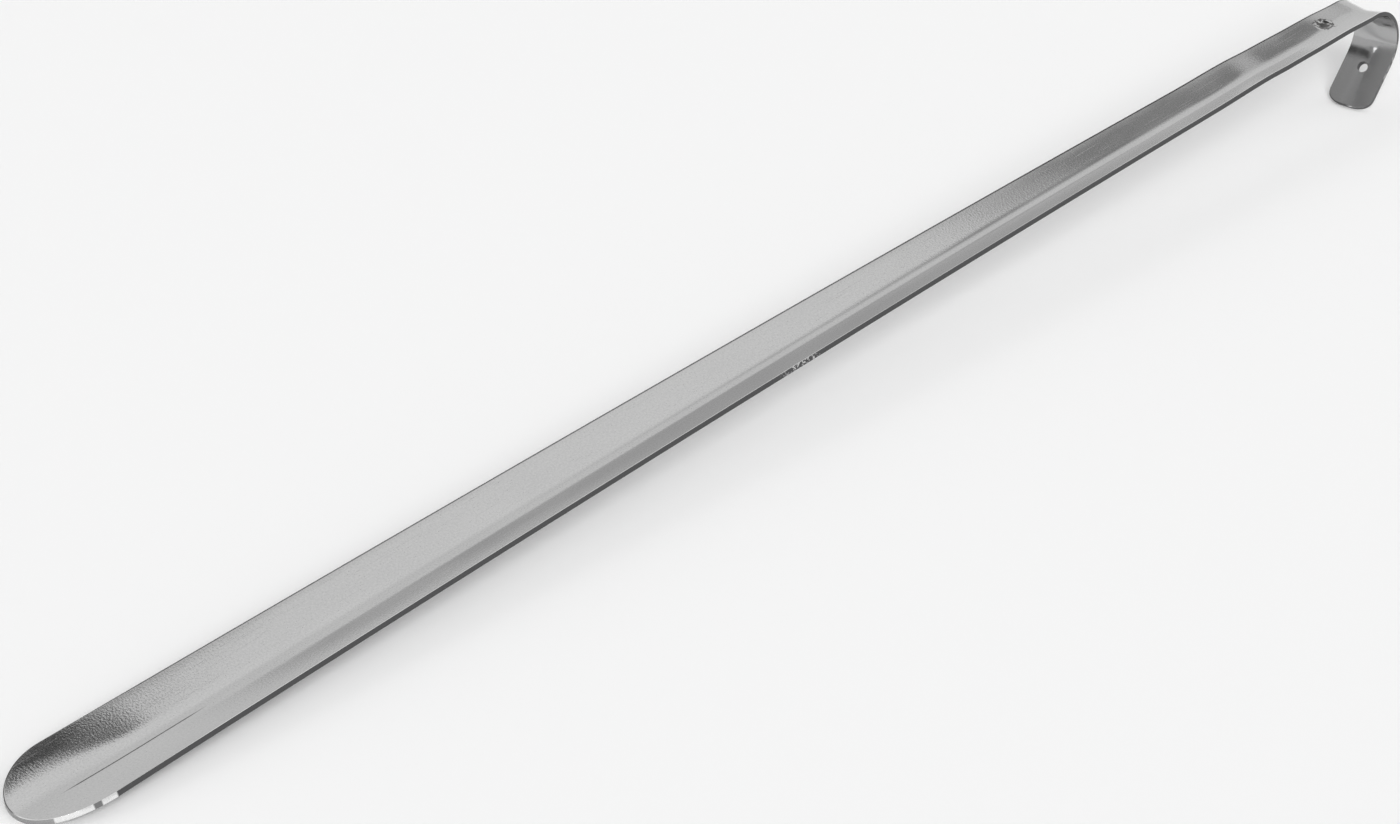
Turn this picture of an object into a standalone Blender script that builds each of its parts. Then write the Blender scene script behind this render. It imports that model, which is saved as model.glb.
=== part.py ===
"""Long shoehorn: one strip of plated sheet steel, a trough from end to end.

The blade's tip is at one end. At the other the strip is bent down to a hook, which ends in a
tongue with a punched hole. The part lies as it would on a table, trough up, on its tip and on
its tongue. Metres, +Z up, +X from the blade to the hook. Apart from the mark, the strip is
symmetric about Y = 0.
"""
import math

import bmesh
import bpy
from mathutils import Matrix, Vector

# Lengths
OVERALL_LENGTH = 0.600      # blade's tip to the outside of the hook, along the shank
TIP_LENGTH = 0.0215         # length of the blade's rounded end
HOOK_RADIUS = 0.012         # outside of the bend, along the strip's middle
HOOK_TURN = math.radians(135)
TONGUE_LENGTH = 0.020       # bend to the tongue's end
TONGUE_END = 0.0065         # length of the tongue's rounded end
TIP_FLAT = 0.006            # straight middle of the tip's edge, which the blade rests on
TONGUE_FLAT = 0.005         # straight middle of the tongue's end, which the hook rests on
TIP_FADE = 0.003            # the trough runs out over this length at the tip

# Section
SHEET = 0.0015              # thickness
BLADE_WIDTH = 0.035         # lip to lip
SHANK_WIDTH = 0.0176        # lip to lip at the hook
WAIST = 0.0008              # how much less than a straight taper the strip is halfway
BLADE_DEPTH = 0.0030        # lips above the trough's middle, inside
SHANK_DEPTH = 0.0020
TONGUE_DEPTH = 0.0012
CAMBER = 0.0021             # rise of the shank's middle over a straight line

# Punched hole and pressed mark
HOLE_RADIUS = 0.00185
HOLE_FROM_END = 0.015
MARK_RADIUS = 0.0035
MARK_DEPTH = 0.0004
MARK_FROM_BEND = 0.016
MARK_SIDE = 0.0020          # off the middle, up the far flank

# Facets
COLUMNS = 13                # across the strip, odd so that a facet lies in the middle
TIP_ROWS = 10
SHANK_ROWS = 36
BEND_ROWS = 20
TONGUE_ROWS = 6
END_ROWS = 7
ROUND_SIDES = 32
CUTTER_OVERLAP = 0.002

# The shank's middle line is an arc of the camber's height over the chord
CHORD = OVERALL_LENGTH - HOOK_RADIUS - SHANK_DEPTH
LEAN = math.atan(4 * CAMBER / CHORD)
SHANK_END = CHORD * LEAN / math.sin(LEAN)
BEND_END = SHANK_END + HOOK_RADIUS * HOOK_TURN
STRIP_END = BEND_END + TONGUE_LENGTH


def middle_line(s):
    """Point and downward pitch of the strip's middle, s along it from the blade's tip."""
    shank_radius = CHORD / (2 * math.sin(LEAN))
    pitch = -LEAN + s / shank_radius
    if s <= SHANK_END:
        x = shank_radius * (math.sin(pitch) + math.sin(LEAN))
        z = shank_radius * (math.cos(pitch) - math.cos(LEAN))
        return x, z, pitch
    pitch = LEAN + min(s - SHANK_END, HOOK_RADIUS * HOOK_TURN) / HOOK_RADIUS
    x = CHORD + HOOK_RADIUS * (math.sin(pitch) - math.sin(LEAN))
    z = HOOK_RADIUS * (math.cos(pitch) - math.cos(LEAN))
    beyond = max(s - BEND_END, 0.0)
    return x + beyond * math.cos(pitch), z - beyond * math.sin(pitch), pitch


def trough_width(s):
    """Lip to lip, before the ends are rounded."""
    share = min(s / SHANK_END, 1.0)
    return BLADE_WIDTH + (SHANK_WIDTH - BLADE_WIDTH) * share - 4 * WAIST * share * (1 - share)


def trough_depth(s):
    """Height of the lips over the trough's middle."""
    share = min(s / SHANK_END, 1.0)
    depth = BLADE_DEPTH + (SHANK_DEPTH - BLADE_DEPTH) * share
    tongue_share = max(s - BEND_END, 0.0) / TONGUE_LENGTH
    return (depth + (TONGUE_DEPTH - SHANK_DEPTH) * tongue_share) * min(s / TIP_FADE, 1.0)


def end_rounding(s):
    """Share of the width that both rounded ends leave, each half of an ellipse with a flat."""
    share = 1.0
    for distance, length, flat in ((s, TIP_LENGTH, TIP_FLAT / BLADE_WIDTH),
                                   (STRIP_END - s, TONGUE_END, TONGUE_FLAT / SHANK_WIDTH)):
        inward = min(max(distance / length, 0.0), 1.0)
        share *= max(math.sqrt(1 - (1 - inward) ** 2), flat)
    return share


def strip_point(s, across):
    """Point on the trough's upper face, across from -1 at one lip to 1 at the other."""
    x, z, pitch = middle_line(s)
    side = across * end_rounding(s)
    rise = trough_depth(s) * side ** 2
    return Vector((x + rise * math.sin(pitch), side * trough_width(s) / 2, z + rise * math.cos(pitch)))


def rounded_rows(length, rows, flat):
    """Distances from a rounded end, at even angles round its ellipse from the flat's corner."""
    corner = math.asin(flat)
    angles = [corner + (math.pi / 2 - corner) * row / rows for row in range(1, rows + 1)]
    return [0.0] + [length * (1 - math.cos(angle)) for angle in angles]


def stations():
    """Distances along the strip, from the blade's tip to the tongue's end."""
    def even(start, stop, rows):
        return [start + (stop - start) * row / rows for row in range(1, rows + 1)]
    tongue_corner = STRIP_END - TONGUE_END
    found = rounded_rows(TIP_LENGTH, TIP_ROWS, TIP_FLAT / BLADE_WIDTH)
    found += even(TIP_LENGTH, SHANK_END, SHANK_ROWS)
    found += even(SHANK_END, BEND_END, BEND_ROWS)
    found += even(BEND_END, tongue_corner, TONGUE_ROWS)
    end = rounded_rows(TONGUE_END, END_ROWS, TONGUE_FLAT / SHANK_WIDTH)
    found += [STRIP_END - distance for distance in end[-2::-1]]
    return found


def clear_scene():
    for obj in list(bpy.data.objects):
        bpy.data.objects.remove(obj, do_unlink=True)


def new_collection(name):
    collection = bpy.data.collections.new(name)
    bpy.context.scene.collection.children.link(collection)
    return collection


def plated_steel():
    material = bpy.data.materials.new("plated_steel")
    material.use_nodes = True
    shader = material.node_tree.nodes["Principled BSDF"]
    shader.inputs["Base Color"].default_value = (0.62, 0.62, 0.61, 1.0)
    shader.inputs["Metallic"].default_value = 1.0
    shader.inputs["Roughness"].default_value = 0.16
    return material


def make_strip(collection):
    """The upper face as a grid laid along the strip, thickened downward to the sheet."""
    rows = stations()
    bm = bmesh.new()
    bmesh.ops.create_grid(bm, x_segments=len(rows) - 1, y_segments=COLUMNS, size=1.0)
    for vert in bm.verts:
        row = round((vert.co.x + 1) / 2 * (len(rows) - 1))
        vert.co = strip_point(rows[row], vert.co.y)
    mesh = bpy.data.meshes.new("shoehorn_strip")
    bm.to_mesh(mesh)
    bm.free()
    strip = bpy.data.objects.new("shoehorn_strip", mesh)
    collection.objects.link(strip)
    thickness = strip.modifiers.new("sheet", "SOLIDIFY")
    thickness.thickness = SHEET
    thickness.offset = -1.0
    thickness.use_even_offset = True
    return strip


def make_cutter(collection, name, build, s, side, depth):
    """A cutter along the strip's outward normal at s, side off its middle and depth below the face."""
    bm = bmesh.new()
    build(bm)
    mesh = bpy.data.meshes.new(name)
    bm.to_mesh(mesh)
    bm.free()
    cutter = bpy.data.objects.new(name, mesh)
    collection.objects.link(cutter)
    x, z, pitch = middle_line(s)
    normal = Vector((math.sin(pitch), 0.0, math.cos(pitch)))
    place = Matrix.Translation(Vector((x, side, z)) - normal * depth)
    cutter.matrix_world = place @ Matrix.Rotation(pitch, 4, "Y")
    cutter.hide_render = True
    cutter.display_type = "WIRE"
    return cutter


def cut(strip, cutter):
    boolean = strip.modifiers.new(cutter.name, "BOOLEAN")
    boolean.operation = "DIFFERENCE"
    boolean.solver = "EXACT"
    boolean.object = cutter


def hole_punch(bm):
    bmesh.ops.create_cone(bm, cap_ends=True, segments=ROUND_SIDES, radius1=HOLE_RADIUS,
                          radius2=HOLE_RADIUS, depth=SHEET + 2 * CUTTER_OVERLAP)


def mark_die(bm):
    """A shallow round die: the cap of a ball, as wide as the mark where it meets the face."""
    ball = (MARK_RADIUS ** 2 + MARK_DEPTH ** 2) / (2 * MARK_DEPTH)
    reach = math.acos(1 - (MARK_DEPTH + CUTTER_OVERLAP) / ball)
    rings = 5
    profile = [bm.verts.new((ball * math.sin(reach * ring / rings), 0.0,
                             ball * (1 - math.cos(reach * ring / rings)))) for ring in range(rings + 1)]
    edges = [bm.edges.new(pair) for pair in zip(profile, profile[1:])]
    bmesh.ops.spin(bm, geom=profile + edges, cent=(0, 0, 0), axis=(0, 0, 1), angle=2 * math.pi,
                   steps=ROUND_SIDES, use_duplicate=False)
    bmesh.ops.remove_doubles(bm, verts=bm.verts, dist=1e-7)
    rim = [edge for edge in bm.edges if edge.is_boundary]
    bmesh.ops.holes_fill(bm, edges=rim, sides=0)
    bmesh.ops.recalc_face_normals(bm, faces=bm.faces)


def lay_down(objects, strip):
    """Tilt everything until the tip and the tongue both touch Z = 0, the tip's end at the left."""
    bpy.context.view_layer.update()
    depsgraph = bpy.context.evaluated_depsgraph_get()
    points = [vert.co.copy() for vert in strip.evaluated_get(depsgraph).data.vertices]
    tip = min((p for p in points if p.x < TIP_LENGTH / 4), key=lambda p: p.z)
    far_end = [p for p in points if p.x > CHORD / 2]
    tilt = max(math.atan2(tip.z - p.z, p.x - tip.x) for p in far_end)
    turn = Matrix.Rotation(-tilt, 4, "Y")
    turned = [turn @ p for p in points]
    middle = (min(p.x for p in turned) + max(p.x for p in turned)) / 2
    move = Matrix.Translation((-middle, 0.0, -min(p.z for p in turned)))
    for obj in objects:
        obj.matrix_world = move @ turn @ obj.matrix_world
    return tilt


clear_scene()
part = new_collection("long_shoehorn")
tools = new_collection("cutters")
shoehorn = make_strip(part)
shoehorn.data.materials.append(plated_steel())
punch = make_cutter(tools, "hole_punch", hole_punch, STRIP_END - HOLE_FROM_END, 0.0, SHEET / 2)
die = make_cutter(tools, "mark_die", mark_die, SHANK_END - MARK_FROM_BEND, MARK_SIDE, MARK_DEPTH)
cut(shoehorn, punch)
cut(shoehorn, die)
shoehorn.data.shade_smooth()
shoehorn.data.set_sharp_from_angle(angle=math.radians(30))
lay_down([shoehorn, punch, die], shoehorn)
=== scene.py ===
import math

import bmesh
import bpy
from mathutils import Matrix, Vector


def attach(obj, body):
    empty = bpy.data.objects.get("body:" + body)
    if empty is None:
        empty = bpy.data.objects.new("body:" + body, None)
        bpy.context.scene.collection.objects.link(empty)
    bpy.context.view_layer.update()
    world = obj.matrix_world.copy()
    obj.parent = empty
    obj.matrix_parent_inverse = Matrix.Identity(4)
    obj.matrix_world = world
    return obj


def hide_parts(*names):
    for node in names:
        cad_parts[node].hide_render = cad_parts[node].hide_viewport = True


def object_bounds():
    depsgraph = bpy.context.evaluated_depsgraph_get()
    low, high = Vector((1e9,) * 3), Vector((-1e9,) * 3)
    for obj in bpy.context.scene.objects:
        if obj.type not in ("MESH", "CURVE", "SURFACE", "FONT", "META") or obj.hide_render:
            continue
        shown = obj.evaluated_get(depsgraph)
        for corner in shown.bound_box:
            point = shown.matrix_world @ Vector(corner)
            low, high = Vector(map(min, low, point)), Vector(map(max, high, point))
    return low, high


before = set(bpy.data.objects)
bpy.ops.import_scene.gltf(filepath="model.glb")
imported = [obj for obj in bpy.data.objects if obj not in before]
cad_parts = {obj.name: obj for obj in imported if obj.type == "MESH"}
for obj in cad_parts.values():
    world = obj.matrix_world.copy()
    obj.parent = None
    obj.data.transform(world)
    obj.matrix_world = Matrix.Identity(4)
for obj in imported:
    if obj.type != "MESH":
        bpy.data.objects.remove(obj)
cad_low, cad_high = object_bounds()

# ---- Camera ---------------------------------------------------------------------------------
# It stands off the blade's near side and looks along the shank to the hook, a little down into
# the trough.
CAMERA_PLACE = Vector((-0.7499, -0.7218, 0.5633))
CAMERA_TARGET = Vector((-0.0438, 0.0, 0.0137))
CAMERA_ROLL = math.radians(-2.717)
FOCAL_LENGTH = 98.85        # millimetres
SENSOR_WIDTH = 36.0

camera_data = bpy.data.cameras.new("camera")
camera_data.lens = FOCAL_LENGTH
camera_data.sensor_width = SENSOR_WIDTH
camera_data.clip_start = 0.02
camera_data.clip_end = 20.0
camera = bpy.data.objects.new("camera", camera_data)
bpy.context.scene.collection.objects.link(camera)
gaze = (CAMERA_TARGET - CAMERA_PLACE).to_track_quat("-Z", "Y").to_matrix().to_4x4()
camera.matrix_world = Matrix.Translation(CAMERA_PLACE) @ gaze @ Matrix.Rotation(CAMERA_ROLL, 4, "Z")
bpy.context.scene.camera = camera

# ---- Strip ----------------------------------------------------------------------------------
# The whole shoehorn is one strip of sheet steel. It is blanked to its outline, pressed to a
# trough, bent at the top to a hook, punched for hanging, deburred and bright plated.
OVERALL_LENGTH = 0.600
TIP_LENGTH = 0.0215
HOOK_RADIUS = 0.012         # outside of the bend, along the strip's middle
HOOK_TURN = math.radians(135)
BEND_EASE = 0.008           # over this length the bend runs out into the straight tongue
EASE_STEPS = 12
TONGUE_LENGTH = 0.020
TONGUE_END = 0.0060
TONGUE_SQUARE = 2.6         # 2 is a half ellipse, and more is squarer
SHEET = 0.0015
BLADE_WIDTH = 0.035
SHANK_WIDTH = 0.0176
WAIST = 0.0008              # how much less than a straight taper the strip is halfway
BLADE_DEPTH = 0.0030
SHANK_DEPTH = 0.0020
CAMBER = 0.0021             # rise of the shank's middle over a straight line
VALLEY_DROP = 0.0006        # how much deeper the pressed valley runs than a plain hollow
VALLEY_START = 0.04         # distance from the tip where the valley has its full drop
BLADE_ROUND = 1.0           # share of the width that is curved, between two flatter flanks
SHANK_ROUND = 0.30
ROUND_CHANGE = 0.050        # the blade's section has turned into the shank's at this distance
FLANK_HOLLOW = 0.15         # how hollow the flanks themselves are
FLATTENING = 0.050          # the trough opens out over this length before the bend
BEND_DEPTH = 0.0012
EDGE_RADIUS = 0.00045
HOLE_RADIUS = 0.00185
HOLE_FROM_END = 0.015
MARK_RADIUS = 0.0036
MARK_DEPTH = 0.00045
MARK_STEEPNESS = 1.8        # its wall takes up the radius divided by this
MARK_FROM_BEND = 0.016
MARK_SIDE = 0.0020          # off the middle, up the far flank
# Where each swell of the bending tool's grip starts, tops and stops, past the bend, and its height.
SWELLS = ((-0.092, -0.065, -0.049, 0.00038), (-0.036, -0.016, -0.002, 0.00034))

CHORD = OVERALL_LENGTH - HOOK_RADIUS - SHANK_DEPTH
LEAN = math.atan(4 * CAMBER / CHORD)
SHANK_END = CHORD * LEAN / math.sin(LEAN)
BEND_END = SHANK_END + HOOK_RADIUS * HOOK_TURN
STRIP_END = BEND_END + TONGUE_LENGTH
HOLE_STATION = STRIP_END - HOLE_FROM_END
MARK_STATION = SHANK_END - MARK_FROM_BEND

# The sheet's grid: columns across it, and rows closer together where the shape turns faster.
COLUMNS = 48
TIP_ROW = 0.0008
BLADE_ROW = 0.0016
SHANK_ROW = 0.0025
MARK_ROW = 0.0004
GRIP_ROW = 0.0010
BEND_ROW = 0.0006
TONGUE_ROW = 0.0005
MARK_REACH = 1.3 * MARK_RADIUS
HOLE_CELLS = 5              # grid cells from the hole's middle to its rim
HOLE_REACH = 2.4            # how far round the hole the grid is drawn in, in rims
END_REACH = 3.0             # how far the rounded ends bend the grid's rows, in end lengths
# The lip band also says where the near lip's painted highlight and the far lip's painted shade go.
LIP_WEAR_AND_LIGHT_REACH = 0.0030     # how far in from the edges the plating is worn


def smooth_step(share):
    share = min(max(share, 0.0), 1.0)
    return share * share * (3 - 2 * share)


def middle_line(s):
    """Point and downward pitch of the strip's middle, s along it from the blade's tip."""
    shank_radius = CHORD / (2 * math.sin(LEAN))
    pitch = -LEAN + s / shank_radius
    if s <= SHANK_END:
        x = shank_radius * (math.sin(pitch) + math.sin(LEAN))
        z = shank_radius * (math.cos(pitch) - math.cos(LEAN))
        return x, z, pitch
    turned = min(s - SHANK_END, HOOK_RADIUS * HOOK_TURN - BEND_EASE / 2)
    pitch = LEAN + turned / HOOK_RADIUS
    x = CHORD + HOOK_RADIUS * (math.sin(pitch) - math.sin(LEAN))
    z = HOOK_RADIUS * (math.cos(pitch) - math.cos(LEAN))
    ahead = s - SHANK_END - turned
    for step in range(EASE_STEPS):
        way = min(ahead * (step + 0.5) / EASE_STEPS, BEND_EASE)
        heading = pitch + (way - way * way / (2 * BEND_EASE)) / HOOK_RADIUS
        x += math.cos(heading) * ahead / EASE_STEPS
        z -= math.sin(heading) * ahead / EASE_STEPS
    way = min(ahead, BEND_EASE)
    return x, z, pitch + (way - way * way / (2 * BEND_EASE)) / HOOK_RADIUS


def trough_width(s):
    share = min(s / SHANK_END, 1.0)
    return BLADE_WIDTH + (SHANK_WIDTH - BLADE_WIDTH) * share - 4 * WAIST * share * (1 - share)


def trough_rise(s, side):
    """Height of the trough over its middle line, two flat flanks with a rounded valley between."""
    share = min(s / SHANK_END, 1.0)
    opened = smooth_step((s - SHANK_END) / FLATTENING + 1)
    depth = BLADE_DEPTH + (SHANK_DEPTH - BLADE_DEPTH) * share
    depth += (BEND_DEPTH - depth) * opened
    drop = VALLEY_DROP * smooth_step(s / VALLEY_START) * (1 - opened)
    curved = BLADE_ROUND + (SHANK_ROUND - BLADE_ROUND) * smooth_step(s / ROUND_CHANGE)
    out = abs(side)
    flank = out * out / (2 * curved) if out < curved else out - curved / 2
    flank = (1 - FLANK_HOLLOW) * flank / (1 - curved / 2) + FLANK_HOLLOW * out * out
    return (depth + drop) * flank - drop


def swell(s):
    """The two low swells that the bending tool's grip leaves before the hook."""
    ahead = s - SHANK_END
    height = 0.0
    for start, top, stop, rise in SWELLS:
        up = smooth_step((ahead - start) / (top - start))
        down = smooth_step((stop - ahead) / (stop - top))
        height += rise * up * down
    return height


def on_trough(s, side):
    """Point of the trough's upper face, side from -1 at the near lip to 1 at the far one."""
    x, z, pitch = middle_line(s)
    rise = trough_rise(s, side) + swell(s)
    return Vector((x + rise * math.sin(pitch), side * trough_width(s) / 2, z + rise * math.cos(pitch)))


def flat_place(distance, turn):
    """Distance along and side in the blank, where the rows bow round into its two ends."""
    angle = turn * math.pi / 2
    near_tip = smooth_step(1 - distance / (END_REACH * TIP_LENGTH))
    near_end = smooth_step(1 - (STRIP_END - distance) / (END_REACH * TONGUE_END))
    square = 2 / TONGUE_SQUARE
    end_bow = near_end * TONGUE_END * (1 - math.cos(angle) ** square)
    distance += near_tip * TIP_LENGTH * (1 - math.cos(angle)) - end_bow
    side = near_tip * math.sin(angle) + near_end * math.copysign(abs(math.sin(angle)) ** square, turn)
    return distance, side + (1 - near_tip - near_end) * turn


def punched_place(s, side, row_offset, column_offset):
    """The same place once the grid round the hole has been drawn in to a circle."""
    rings = max(abs(row_offset), abs(column_offset)) / HOLE_CELLS
    if rings < 1 or rings >= HOLE_REACH:
        return s, side
    half_width = trough_width(s) / 2
    offset = Vector((s - HOLE_STATION, side * half_width))
    drawn = smooth_step((rings - 1) / (HOLE_REACH - 1))
    offset = (offset.normalized() * HOLE_RADIUS * rings).lerp(offset, drawn)
    return HOLE_STATION + offset.x, offset.y / half_width


def spaced(start, stop, step):
    count = max(1, round((stop - start) / step))
    return [start + (stop - start) * i / count for i in range(1, count + 1)]


hole_cell = trough_width(HOLE_STATION) / COLUMNS
hole_start = HOLE_STATION - HOLE_CELLS * hole_cell
hole_stop = HOLE_STATION + HOLE_CELLS * hole_cell
rows = [0.0]
rows += spaced(0.0, TIP_LENGTH, TIP_ROW)
rows += spaced(TIP_LENGTH, END_REACH * TIP_LENGTH, BLADE_ROW)
rows += spaced(END_REACH * TIP_LENGTH, MARK_STATION - MARK_REACH, SHANK_ROW)
rows += spaced(MARK_STATION - MARK_REACH, MARK_STATION + MARK_REACH, MARK_ROW)
rows += spaced(MARK_STATION + MARK_REACH, SHANK_END, GRIP_ROW)
rows += spaced(SHANK_END, BEND_END, BEND_ROW)
rows += spaced(BEND_END, hole_start, TONGUE_ROW)
rows += spaced(hole_start, hole_stop, hole_cell)
rows += spaced(hole_stop, STRIP_END, TONGUE_ROW)
hole_row = min(range(len(rows)), key=lambda i: abs(rows[i] - HOLE_STATION))
mark_place = on_trough(MARK_STATION, MARK_SIDE / trough_width(MARK_STATION) * 2)
mark_pitch = middle_line(MARK_STATION)[2]
mark_normal = Vector((math.sin(mark_pitch), 0.0, math.cos(mark_pitch)))

# The blank is one grid. Each vertex is laid out flat, then moved to its place on the trough, and
# its flat place is kept as the UV map, in metres along and across the strip.
blank = bmesh.new()
blank_uv = blank.loops.layers.uv.new("strip")
lip_wear_and_painted_light = blank.verts.layers.float.new("lip_wear_and_painted_light")
bmesh.ops.create_grid(blank, x_segments=len(rows) - 1, y_segments=COLUMNS, size=1.0)
place_in_blank = {}
inside_hole = []
for vert in blank.verts:
    row = round((vert.co.x + 1) / 2 * (len(rows) - 1))
    column = round(vert.co.y * COLUMNS / 2)
    if abs(row - hole_row) < HOLE_CELLS and abs(column) < HOLE_CELLS:
        inside_hole.append(vert)
    s, side = flat_place(rows[row], vert.co.y)
    s, side = punched_place(s, side, row - hole_row, column)
    place_in_blank[vert] = (s, side * trough_width(s) / 2)
    # Near the edges the plating is worn, and there the lips' painted highlight and painted shade go.
    from_lip = min((1 - abs(vert.co.y)) * trough_width(s) / 2, rows[row], STRIP_END - rows[row])
    vert[lip_wear_and_painted_light] = 1 - smooth_step(from_lip / LIP_WEAR_AND_LIGHT_REACH)
    vert.co = on_trough(s, side)
    from_mark = (vert.co - mark_place).length / MARK_RADIUS
    vert.co -= mark_normal * MARK_DEPTH * smooth_step((1 - from_mark) * MARK_STEEPNESS)
for face in blank.faces:
    for loop in face.loops:
        loop[blank_uv].uv = place_in_blank[loop.vert]
bmesh.ops.delete(blank, geom=inside_hole, context="VERTS")
if sum(face.normal.z for face in blank.faces) < 0:
    bmesh.ops.reverse_faces(blank, faces=blank.faces)
blank_data = bpy.data.meshes.new("blank")
blank.to_mesh(blank_data)
blank.free()
strip = bpy.data.objects.new("shoehorn_strip_plated", blank_data)
bpy.context.scene.collection.objects.link(strip)

# The sheet's thickness goes on below, and its cut edges are rounded. The face, the back and the
# cut edge take their finishes from three slots.
sheet = strip.modifiers.new("sheet", "SOLIDIFY")
sheet.thickness = SHEET
sheet.offset = -1.0
sheet.use_even_offset = True
sheet.material_offset = 1
sheet.material_offset_rim = 2
deburr = strip.modifiers.new("deburr", "BEVEL")
deburr.width = EDGE_RADIUS
deburr.segments = 3
deburr.limit_method = "ANGLE"
deburr.material = 0
deburr.angle_limit = math.radians(50)
plated = bpy.data.materials.new("plated_steel_bright")
back = bpy.data.materials.new("plated_steel_back")
cut_edge = bpy.data.materials.new("plated_steel_cut_edge")
for finish in (plated, back, cut_edge):
    blank_data.materials.append(finish)
bpy.context.view_layer.update()
formed = strip.evaluated_get(bpy.context.evaluated_depsgraph_get())
strip_data = bpy.data.meshes.new_from_object(formed)
strip_data.name = "shoehorn_strip_plated"
strip.modifiers.clear()
strip.data = strip_data

# It lies on its tip and on its tongue's end, where the frame's own strip lies.
points = [vert.co for vert in strip_data.vertices]
tip = min((p for p in points if p.x < TIP_LENGTH / 4), key=lambda p: p.z).copy()
lay = max(math.atan2(tip.z - p.z, p.x - tip.x) for p in points if p.x > CHORD / 2)
strip_data.transform(Matrix.Rotation(-lay, 4, "Y"))
shift_x = (cad_low.x + cad_high.x - max(p.x for p in points) - min(p.x for p in points)) / 2
strip_data.transform(Matrix.Translation((shift_x, 0.0, cad_low.z - min(p.z for p in points))))
strip_data.shade_smooth()
strip_data.set_sharp_from_angle(angle=math.radians(40))
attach(strip, "root")
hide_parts("shoehorn_strip")


def add_node(tree, kind, **settings):
    node = tree.nodes.new(kind)
    for name, value in settings.items():
        setattr(node, name, value)
    return node


# Every finish carries the sheet's own grain, so that is one group: noise on the strip's flat
# place, with so many lumps in a metre along it and across it.
sheet_grain = bpy.data.node_groups.new("sheet_grain", "ShaderNodeTree")
for name in ("Along", "Across", "Detail"):
    sheet_grain.interface.new_socket(name, in_out="INPUT", socket_type="NodeSocketFloat")
sheet_grain.interface.new_socket("Amount", in_out="OUTPUT", socket_type="NodeSocketFloat")
given = add_node(sheet_grain, "NodeGroupInput")
lumps = add_node(sheet_grain, "ShaderNodeCombineXYZ")
stretched = add_node(sheet_grain, "ShaderNodeVectorMath", operation="MULTIPLY")
noise = add_node(sheet_grain, "ShaderNodeTexNoise", noise_dimensions="2D")
noise.inputs["Scale"].default_value = 1.0
laid_flat = add_node(sheet_grain, "ShaderNodeUVMap", uv_map="strip")
sheet_grain.links.new(given.outputs["Along"], lumps.inputs["X"])
sheet_grain.links.new(given.outputs["Across"], lumps.inputs["Y"])
sheet_grain.links.new(laid_flat.outputs["UV"], stretched.inputs[0])
sheet_grain.links.new(lumps.outputs["Vector"], stretched.inputs[1])
sheet_grain.links.new(stretched.outputs["Vector"], noise.inputs["Vector"])
sheet_grain.links.new(given.outputs["Detail"], noise.inputs["Detail"])
result = add_node(sheet_grain, "NodeGroupOutput")
sheet_grain.links.new(noise.outputs["Fac"], result.inputs["Amount"])


def streaks(tree, along, across, detail):
    """The sheet's grain, with this many lumps in a metre each way."""
    grain_node = add_node(tree, "ShaderNodeGroup", node_tree=sheet_grain)
    for name, number in (("Along", along), ("Across", across), ("Detail", detail)):
        grain_node.inputs[name].default_value = number
    return grain_node.outputs["Amount"]


def strip_place(tree):
    """How far along the strip and how far off its middle a point is, in metres."""
    place = add_node(tree, "ShaderNodeSeparateXYZ")
    tree.links.new(add_node(tree, "ShaderNodeUVMap", uv_map="strip").outputs["UV"], place.inputs["Vector"])
    return place.outputs["X"], place.outputs["Y"]


def ranged(tree, value, from_low, from_high, to_low, to_high):
    span = add_node(tree, "ShaderNodeMapRange", interpolation_type="SMOOTHSTEP")
    limits = {"From Min": from_low, "From Max": from_high, "To Min": to_low, "To Max": to_high}
    for name, number in limits.items():
        span.inputs[name].default_value = number
    tree.links.new(value, span.inputs["Value"])
    return span.outputs["Result"]


def combined(tree, operation, first, second):
    """Two values, or a value and a number, through one Math node."""
    math_node = add_node(tree, "ShaderNodeMath", operation=operation)
    for socket, value in zip(math_node.inputs, (first, second)):
        if isinstance(value, (int, float)):
            socket.default_value = value
        else:
            tree.links.new(value, socket)
    return math_node.outputs["Value"]


def band(tree, value, rise, fall):
    """1 between the rise and the fall, and 0 before and after them."""
    risen = ranged(tree, value, *rise, 0.0, 1.0)
    return combined(tree, "MULTIPLY", risen, ranged(tree, value, *fall, 1.0, 0.0))


def coloured(tree, amount, first, second):
    """From the first colour, or from what is already there, to the second."""
    blend = add_node(tree, "ShaderNodeMix", data_type="RGBA")
    if isinstance(first, tuple):
        blend.inputs["A"].default_value = first
    else:
        tree.links.new(first, blend.inputs["A"])
    blend.inputs["B"].default_value = second
    tree.links.new(amount, blend.inputs["Factor"])
    return blend.outputs["Result"]


def raised(tree, height, distance, strength, under=None):
    bump = add_node(tree, "ShaderNodeBump")
    bump.inputs["Distance"].default_value = distance
    bump.inputs["Strength"].default_value = strength
    tree.links.new(height, bump.inputs["Height"])
    if under is not None:
        tree.links.new(under, bump.inputs["Normal"])
    return bump.outputs["Normal"]


# Bright plating over polished sheet, with a sandy grain, rolling streaks, hairline rubs from shoes
# and pores. The near lip carries a painted highlight and the far one painted shade. The mark's floor
# is unpolished.
PLATING_DULL = (0.59, 0.59, 0.59, 1.0)
PLATING_BRIGHT = (0.655, 0.654, 0.652, 1.0)
# The near lip's colour is a painted highlight.
NEAR_LIP_HIGHLIGHT = (0.93, 0.93, 0.93, 1.0)
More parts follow.
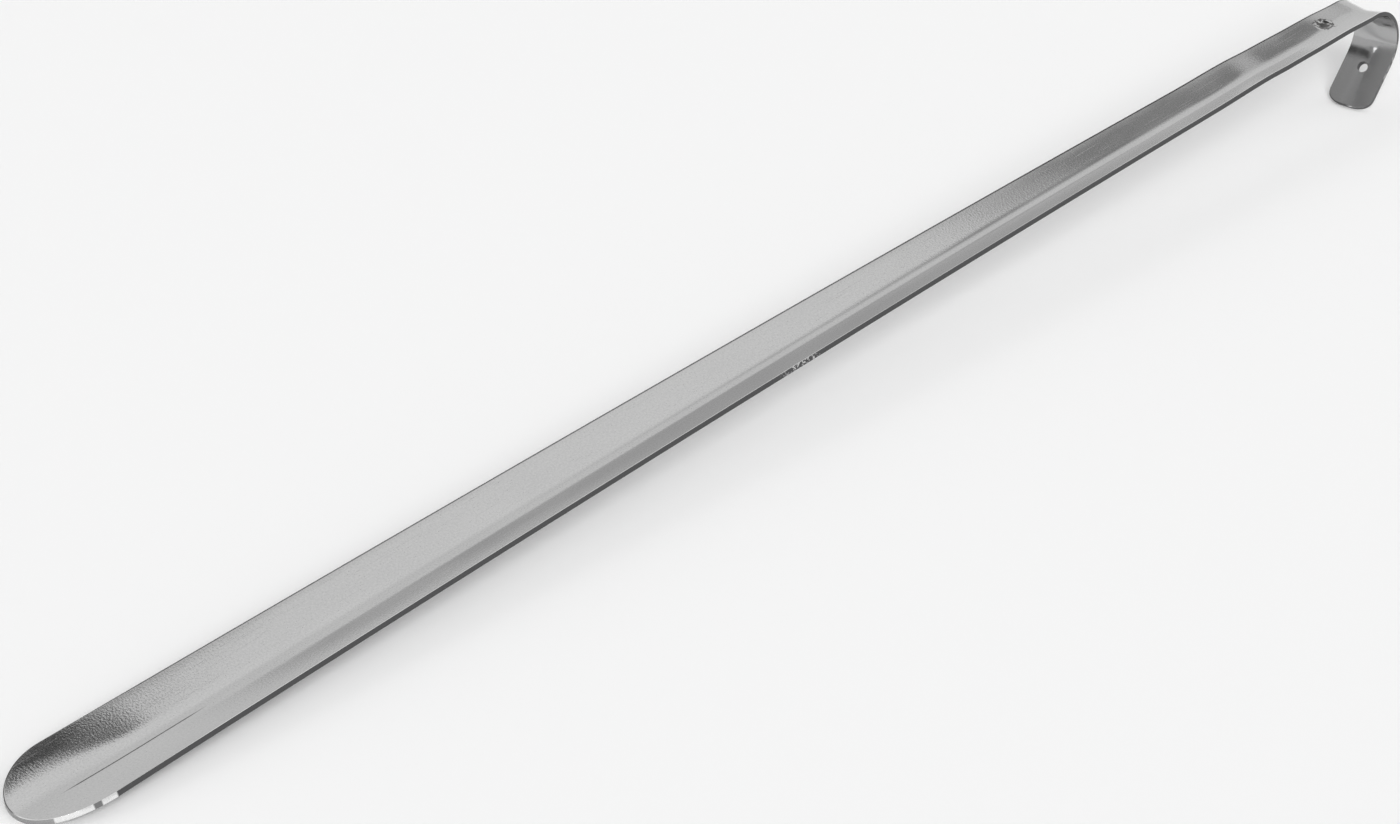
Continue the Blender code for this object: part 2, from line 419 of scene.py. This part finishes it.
# The far lip's colour is painted shade.
FAR_LIP_SHADE = (0.14, 0.14, 0.14, 1.0)
BARE_PIT = (0.15, 0.148, 0.146, 1.0)
PRESS_LINE_SIDE = -0.0024   # a fine line that the press tool left in the blade, off the middle
PRESS_LINE_REACH = ((0.012, 0.020), (0.055, 0.064))  # where it fades in and out, along the strip
PRESS_LINE_DEPTH = 0.00006
GRAIN_HEIGHT = 0.000002
PEEL_LUMPS = 1500           # in a metre each way
PEEL_HEIGHT = 0.000018
PORE_LUMPS = 2600
RUB_DEPTH = 0.000006
BLOTCH_LUMPS = 700
BLOTCH_SPREAD = 0.0012      # how far the pit's border wanders
PIT_BORDER = (0.0020, 0.0036)  # it fades out from the mark's middle between these

plated.use_nodes = True
tree = plated.node_tree
shader = tree.nodes["Principled BSDF"]
shader.inputs["Metallic"].default_value = 1.0
along, off_middle = strip_place(tree)
haze = streaks(tree, 30, 90, 3.0)
grain = streaks(tree, 90, 5200, 2.0)
rubs = ranged(tree, streaks(tree, 26, 3300, 4.0), 0.68, 0.76, 0.0, 1.0)
peel = streaks(tree, PEEL_LUMPS, PEEL_LUMPS, 3.0)
pores = ranged(tree, streaks(tree, PORE_LUMPS, PORE_LUMPS, 1.0), 0.74, 0.80, 0.0, 1.0)
lip = add_node(tree, "ShaderNodeAttribute", attribute_name="lip_wear_and_painted_light").outputs["Fac"]

sand = combined(tree, "ADD", combined(tree, "MULTIPLY", haze, 0.3), combined(tree, "MULTIPLY", peel, 0.7))
sand = ranged(tree, sand, 0.30, 0.70, 0.0, 1.0)
colour = coloured(tree, sand, PLATING_DULL, PLATING_BRIGHT)
rim = ranged(tree, lip, 0.90, 0.96, 0.0, 1.0)
far_lip_shade_mask = combined(tree, "MULTIPLY", rim, ranged(tree, off_middle, 0.0, 0.002, 0.0, 1.0))
near_lip_highlight_mask = combined(tree, "MULTIPLY", rim, ranged(tree, off_middle, -0.002, 0.0, 1.0, 0.0))
# The far lip is painted dark, as painted shade.
colour = coloured(tree, far_lip_shade_mask, colour, FAR_LIP_SHADE)
# The near lip is painted bright, a painted highlight on its rounded corner.
colour = coloured(tree, near_lip_highlight_mask, colour, NEAR_LIP_HIGHLIGHT)

off_line = combined(tree, "ABSOLUTE", combined(tree, "SUBTRACT", off_middle, PRESS_LINE_SIDE), 0.0)
line = ranged(tree, off_line, 0.00010, 0.00030, 1.0, 0.0)
line = combined(tree, "MULTIPLY", line, band(tree, along, *PRESS_LINE_REACH))

from_mark = add_node(tree, "ShaderNodeVectorMath", operation="DISTANCE")
from_mark.inputs[1].default_value = (MARK_STATION, MARK_SIDE, 0.0)
tree.links.new(add_node(tree, "ShaderNodeUVMap", uv_map="strip").outputs["UV"], from_mark.inputs[0])
blotch = streaks(tree, BLOTCH_LUMPS, BLOTCH_LUMPS, 2.0)
blotch = ranged(tree, blotch, 0.38, 0.62, -BLOTCH_SPREAD, BLOTCH_SPREAD)
blotch = combined(tree, "ADD", from_mark.outputs["Value"], blotch)
pitted = combined(tree, "MAXIMUM", combined(tree, "MULTIPLY", pores, 0.6), line)
pitted = combined(tree, "MAXIMUM", pitted, ranged(tree, blotch, *PIT_BORDER, 1.0, 0.0))
tree.links.new(coloured(tree, pitted, colour, BARE_PIT), shader.inputs["Base Color"])

roughness = ranged(tree, haze, 0.35, 0.68, 0.075, 0.115)
roughness = combined(tree, "ADD", roughness, combined(tree, "MULTIPLY", rubs, 0.06))
roughness = combined(tree, "ADD", roughness, combined(tree, "MULTIPLY", lip, 0.06))
tree.links.new(roughness, shader.inputs["Roughness"])

normal = raised(tree, grain, GRAIN_HEIGHT, 0.4)
normal = raised(tree, peel, PEEL_HEIGHT, 0.7, normal)
normal = raised(tree, combined(tree, "SUBTRACT", 1.0, rubs), RUB_DEPTH, 0.5, normal)
normal = raised(tree, combined(tree, "SUBTRACT", 1.0, line), PRESS_LINE_DEPTH, 0.8, normal)
tree.links.new(normal, shader.inputs["Normal"])

# The back is plated over unpolished sheet, so it is duller, with longer rolling lines and a
# shallower peel.
BACK_DULL = (0.44, 0.44, 0.445, 1.0)
BACK_BRIGHT = (0.47, 0.469, 0.467, 1.0)
BACK_GRAIN_HEIGHT = 0.000004
BACK_PEEL_HEIGHT = 0.000012

back.use_nodes = True
tree = back.node_tree
shader = tree.nodes["Principled BSDF"]
shader.inputs["Metallic"].default_value = 1.0
haze = streaks(tree, 14, 160, 3.0)
grain = streaks(tree, 60, 4200, 3.0)
peel = streaks(tree, PEEL_LUMPS, PEEL_LUMPS, 2.0)
rubs = ranged(tree, streaks(tree, 40, 1900, 4.0), 0.64, 0.72, 0.0, 1.0)
tree.links.new(coloured(tree, haze, BACK_DULL, BACK_BRIGHT), shader.inputs["Base Color"])
roughness = ranged(tree, haze, 0.35, 0.68, 0.13, 0.19)
roughness = combined(tree, "ADD", roughness, combined(tree, "MULTIPLY", rubs, 0.06))
tree.links.new(roughness, shader.inputs["Roughness"])
normal = raised(tree, grain, BACK_GRAIN_HEIGHT, 0.6)
tree.links.new(raised(tree, peel, BACK_PEEL_HEIGHT, 0.7, normal), shader.inputs["Normal"])

# The cut edge keeps the shear's tear marks under thin plating, so it is dull, and its colour is painted
# dark as shade. The near edge of the tip carries a painted highlight but for one dark gap, and bright
# glints are painted in specks halfway along and on the hook's near side.
# Painted shade: the cut edge's colour is dark.
EDGE_SHADE = (0.10, 0.10, 0.102, 1.0)
# The colour of the painted highlight and the painted glints on the cut edge.
EDGE_HIGHLIGHT = (0.86, 0.86, 0.86, 1.0)
HIGHLIGHT_GAP_STATION = 0.0150
# Bright specks painted as glints on the cut edge.
GLINT_LUMPS = 1500.0         # in a metre
SHANK_GLINTS = ((0.276, 0.284), (0.291, 0.297))  # where they fade in and out, along the strip
HOOK_GLINTS = ((0.606, 0.610), (0.619, 0.624))
TEAR_HEIGHT = 0.00002

cut_edge.use_nodes = True
tree = cut_edge.node_tree
shader = tree.nodes["Principled BSDF"]
shader.inputs["Metallic"].default_value = 1.0
along, off_middle = strip_place(tree)
tear = streaks(tree, 2400, 300, 3.0)
speck = add_node(tree, "ShaderNodeTexNoise")
speck.inputs["Scale"].default_value = GLINT_LUMPS
tree.links.new(add_node(tree, "ShaderNodeTexCoord").outputs["Object"], speck.inputs["Vector"])
# Painted glints: bright specks on the edge, halfway along and on the hook's near side.
glint_specks = ranged(tree, speck.outputs["Fac"], 0.55, 0.62, 0.0, 0.75)
on_shank = band(tree, along, *SHANK_GLINTS)
on_hook = band(tree, along, *HOOK_GLINTS)
on_hook = combined(tree, "MULTIPLY", on_hook, ranged(tree, off_middle, -0.006, -0.004, 1.0, 0.0))
glint_mask = combined(tree, "MULTIPLY", glint_specks, combined(tree, "MAXIMUM", on_shank, on_hook))

# A painted highlight along the near edge of the tip, with one dark gap in it.
near = ranged(tree, off_middle, -0.0110, -0.0104, 1.0, 0.0)
tip_edge_highlight = combined(tree, "MULTIPLY", near, ranged(tree, along, 0.0205, 0.0212, 1.0, 0.0))
tip_edge_highlight = combined(tree, "MAXIMUM", tip_edge_highlight, ranged(tree, along, 0.007, 0.009, 0.35, 0.0))
from_highlight_gap = combined(tree, "ABSOLUTE", combined(tree, "SUBTRACT", along, HIGHLIGHT_GAP_STATION), 0.0)
tip_edge_highlight = combined(tree, "MULTIPLY", tip_edge_highlight, ranged(tree, from_highlight_gap, 0.0009, 0.0014, 0.15, 1.0))
edge_highlight = combined(tree, "MAXIMUM", glint_mask, tip_edge_highlight)
# The dark edge colour is painted shade, with the painted highlights laid over it.
tree.links.new(coloured(tree, edge_highlight, EDGE_SHADE, EDGE_HIGHLIGHT), shader.inputs["Base Color"])
roughness = ranged(tree, tear, 0.3, 0.7, 0.30, 0.46)
roughness = combined(tree, "SUBTRACT", roughness, combined(tree, "MULTIPLY", edge_highlight, 0.15))
tree.links.new(roughness, shader.inputs["Roughness"])
tree.links.new(raised(tree, tear, TEAR_HEIGHT, 0.6), shader.inputs["Normal"])

# ---- Floor ------------------------------------------------------------------------------------
# A plain pale floor, wide enough to fill the view, painted matt. The strip lies on it, on its tip
# and on its tongue's end.
FLOOR_HALF = 4.0
FLOOR_PAINT = (0.88, 0.88, 0.88, 1.0)

floor_mesh = bmesh.new()
bmesh.ops.create_grid(floor_mesh, x_segments=1, y_segments=1, size=FLOOR_HALF)
bmesh.ops.translate(floor_mesh, vec=(0.0, 0.0, cad_low.z), verts=floor_mesh.verts)
floor_data = bpy.data.meshes.new("floor")
floor_mesh.to_mesh(floor_data)
floor_mesh.free()
floor = bpy.data.objects.new("floor", floor_data)
bpy.context.scene.collection.objects.link(floor)
paint = bpy.data.materials.new("floor_paint")
paint.use_nodes = True
shader = paint.node_tree.nodes["Principled BSDF"]
shader.inputs["Base Color"].default_value = FLOOR_PAINT
shader.inputs["Roughness"].default_value = 0.9
floor_data.materials.append(paint)

# ---- Studio -----------------------------------------------------------------------------------
# Bright steel mirrors what stands round it, so the studio is soft boxes, panels and dark flags laid
# out by direction, with one soft key light. Borders and blurs are in degrees, of height over the
# horizon and of bearing from +Y towards +X. A level of 1 is white, and a later thing hides an earlier.
world = bpy.data.worlds.new("studio")
world.use_nodes = True
bpy.context.scene.world = world
tree = world.node_tree
direction = add_node(tree, "ShaderNodeTexCoord").outputs["Generated"]
axes = add_node(tree, "ShaderNodeSeparateXYZ")
tree.links.new(direction, axes.inputs["Vector"])
height = combined(tree, "MULTIPLY", combined(tree, "ARCSINE", axes.outputs["Z"], 0.0), 180 / math.pi)
bearing = combined(tree, "ARCTAN2", axes.outputs["X"], axes.outputs["Y"])
bearing = combined(tree, "MULTIPLY", bearing, 180 / math.pi)


def layered(base, level, *masks):
    """The light becomes level where every mask is 1."""
    amount = masks[0]
    for mask in masks[1:]:
        amount = combined(tree, "MULTIPLY", amount, mask)
    mix = add_node(tree, "ShaderNodeMix", data_type="FLOAT")
    if isinstance(base, (int, float)):
        mix.inputs["A"].default_value = base
    else:
        tree.links.new(base, mix.inputs["A"])
    mix.inputs["B"].default_value = level
    tree.links.new(amount, mix.inputs["Factor"])
    return mix.outputs["Result"]


def above(value, border, blur):
    return ranged(tree, value, border - blur, border + blur, 0.0, 1.0)


def below(value, border, blur):
    return ranged(tree, value, border - blur, border + blur, 1.0, 0.0)


def leaning(slope):
    """Height plus a share of the bearing, for a border that leans."""
    return combined(tree, "ADD", height, combined(tree, "MULTIPLY", bearing, slope))


# Each thing is its level and then its borders. Pale walls come first, with a grey panel standing low
# ahead of the camera and slightly darker wall to its left.
WALLS = 0.74
panel = (
    0.45, below(height, 15, 2.5), above(bearing, 27.5, 1.2), below(bearing, 43.9, 0.7),
    above(leaning(0.9), 33, 1.5),
)
left_wall = (0.72, below(leaning(0.45), 23.4, 0.6), below(bearing, 33.5, 2.5))

# The wide soft box overhead, with a grey wedge on the hook's side and a dark flag within that.
soft_box = (0.84, above(height, 38, 3))
wedge_top = below(leaning(-0.5), 13.3, 1.5)
wedge = (0.62, above(height, 31.5, 1.5), wedge_top, above(bearing, 36, 5), below(bearing, 92, 6))
flag = (
    0.27, above(leaning(-0.35), 16.6, 1.0), wedge_top, below(leaning(0.8), 111, 1),
    above(bearing, 48, 9), below(bearing, 92, 6),
)

# The ceiling is dim, with a dark border on the hook's side and a dark flap hanging from it.
border = (0.05, above(height, 61.4, 1.6), above(bearing, 10, 10), below(bearing, 100, 10))
flap = (
    0.08, above(leaning(-0.6), 32.0, 0.9), above(height, 52, 1.5), above(bearing, 33, 2),
    below(bearing, 48, 1.5),
)
ceiling = (0.27, above(height, 65.3, 0.7), below(bearing, 100, 10))

# A soft box to the right of the camera, and two grey walls, a dark band and a small lamp to its left.
right_box = (1.2, above(bearing, 97, 5), below(bearing, 150, 8), above(height, 10, 4), below(height, 58, 5))
front_left_wall = (0.52, above(height, 21, 3), below(bearing, 8, 8), above(bearing, -50, 6))
rear_left_wall = (0.38, above(height, 21, 3), below(bearing, -50, 6), above(bearing, -125, 10))
dark_band = (
    0.10, above(leaning(0.55), 5, 4), below(leaning(0.55), 20, 4), below(bearing, 4, 4),
    above(bearing, -52, 5),
)
lamp = (2.6, above(height, 23, 2), below(height, 44, 2), below(bearing, -63, 2), above(bearing, -76, 2))

studio = (panel, left_wall, soft_box, wedge, flag, border, flap, ceiling)
studio += (right_box, front_left_wall, rear_left_wall, dark_band, lamp)
light = WALLS
for thing in studio:
    light = layered(light, *thing)
tree.links.new(light, tree.nodes["Background"].inputs["Color"])
tree.nodes["Background"].inputs["Strength"].default_value = 1.0

KEY_STRENGTH = 2.3
KEY_SOFTNESS = math.radians(25)
KEY_DIRECTION = Vector((0.614, 0.628, -0.52))
sun_data = bpy.data.lights.new("key_light", "SUN")
sun_data.energy = KEY_STRENGTH
sun_data.angle = KEY_SOFTNESS
sun = bpy.data.objects.new("key_light", sun_data)
sun.rotation_euler = KEY_DIRECTION.to_track_quat("-Z", "Y").to_euler()
bpy.context.scene.collection.objects.link(sun)
bpy.context.scene.view_settings.view_transform = "Standard"
